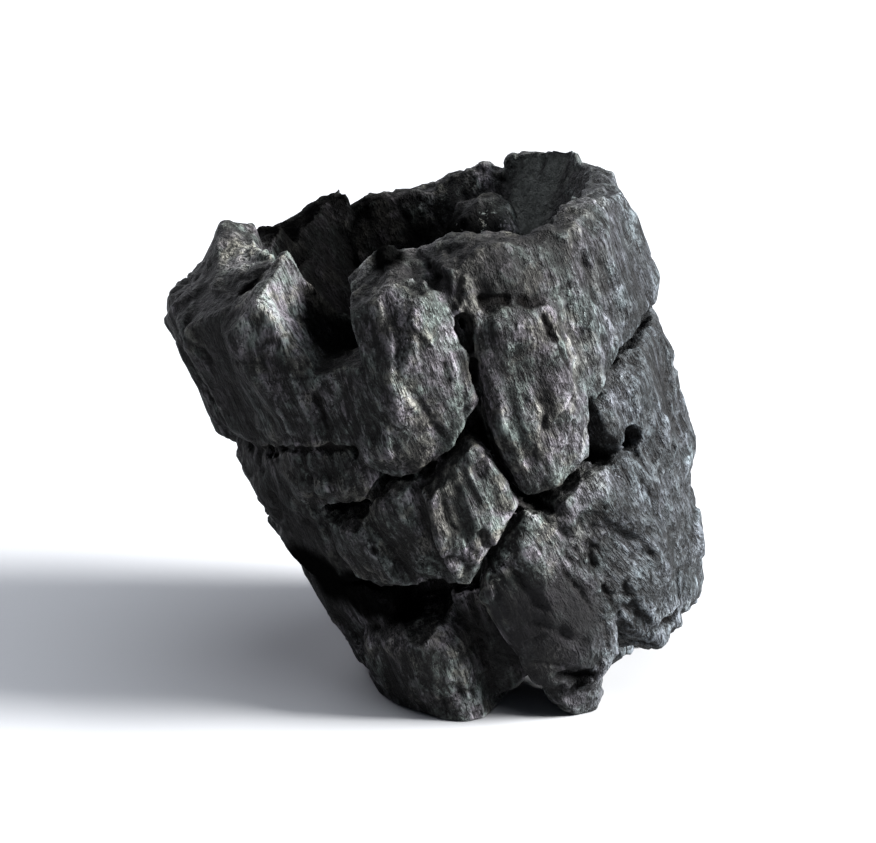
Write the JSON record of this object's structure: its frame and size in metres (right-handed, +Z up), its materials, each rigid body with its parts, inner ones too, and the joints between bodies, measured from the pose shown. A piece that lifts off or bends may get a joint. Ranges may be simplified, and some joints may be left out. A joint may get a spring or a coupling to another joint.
{
  "type": "charcoal lump",
  "caption": "Lump of hardwood charcoal: a short charred trunk chunk, cracked into blocks, open and hollow at the top, standing on its broken lower end.",
  "frame": {"origin": "on the ground, under the centre of the lump's bounding box", "axes": "+X along the lump's widest reach, to the right as seen from the front; the cracked front faces -Y; +Z up"},
  "size_m": [0.0988, 0.078, 0.0939],
  "materials": {
    "charcoal": "charred, dull black with a faint graphite sheen"
  },
  "bodies": {
    "root": {"charcoal_lump": "charcoal"}
  },
  "joints": []
}
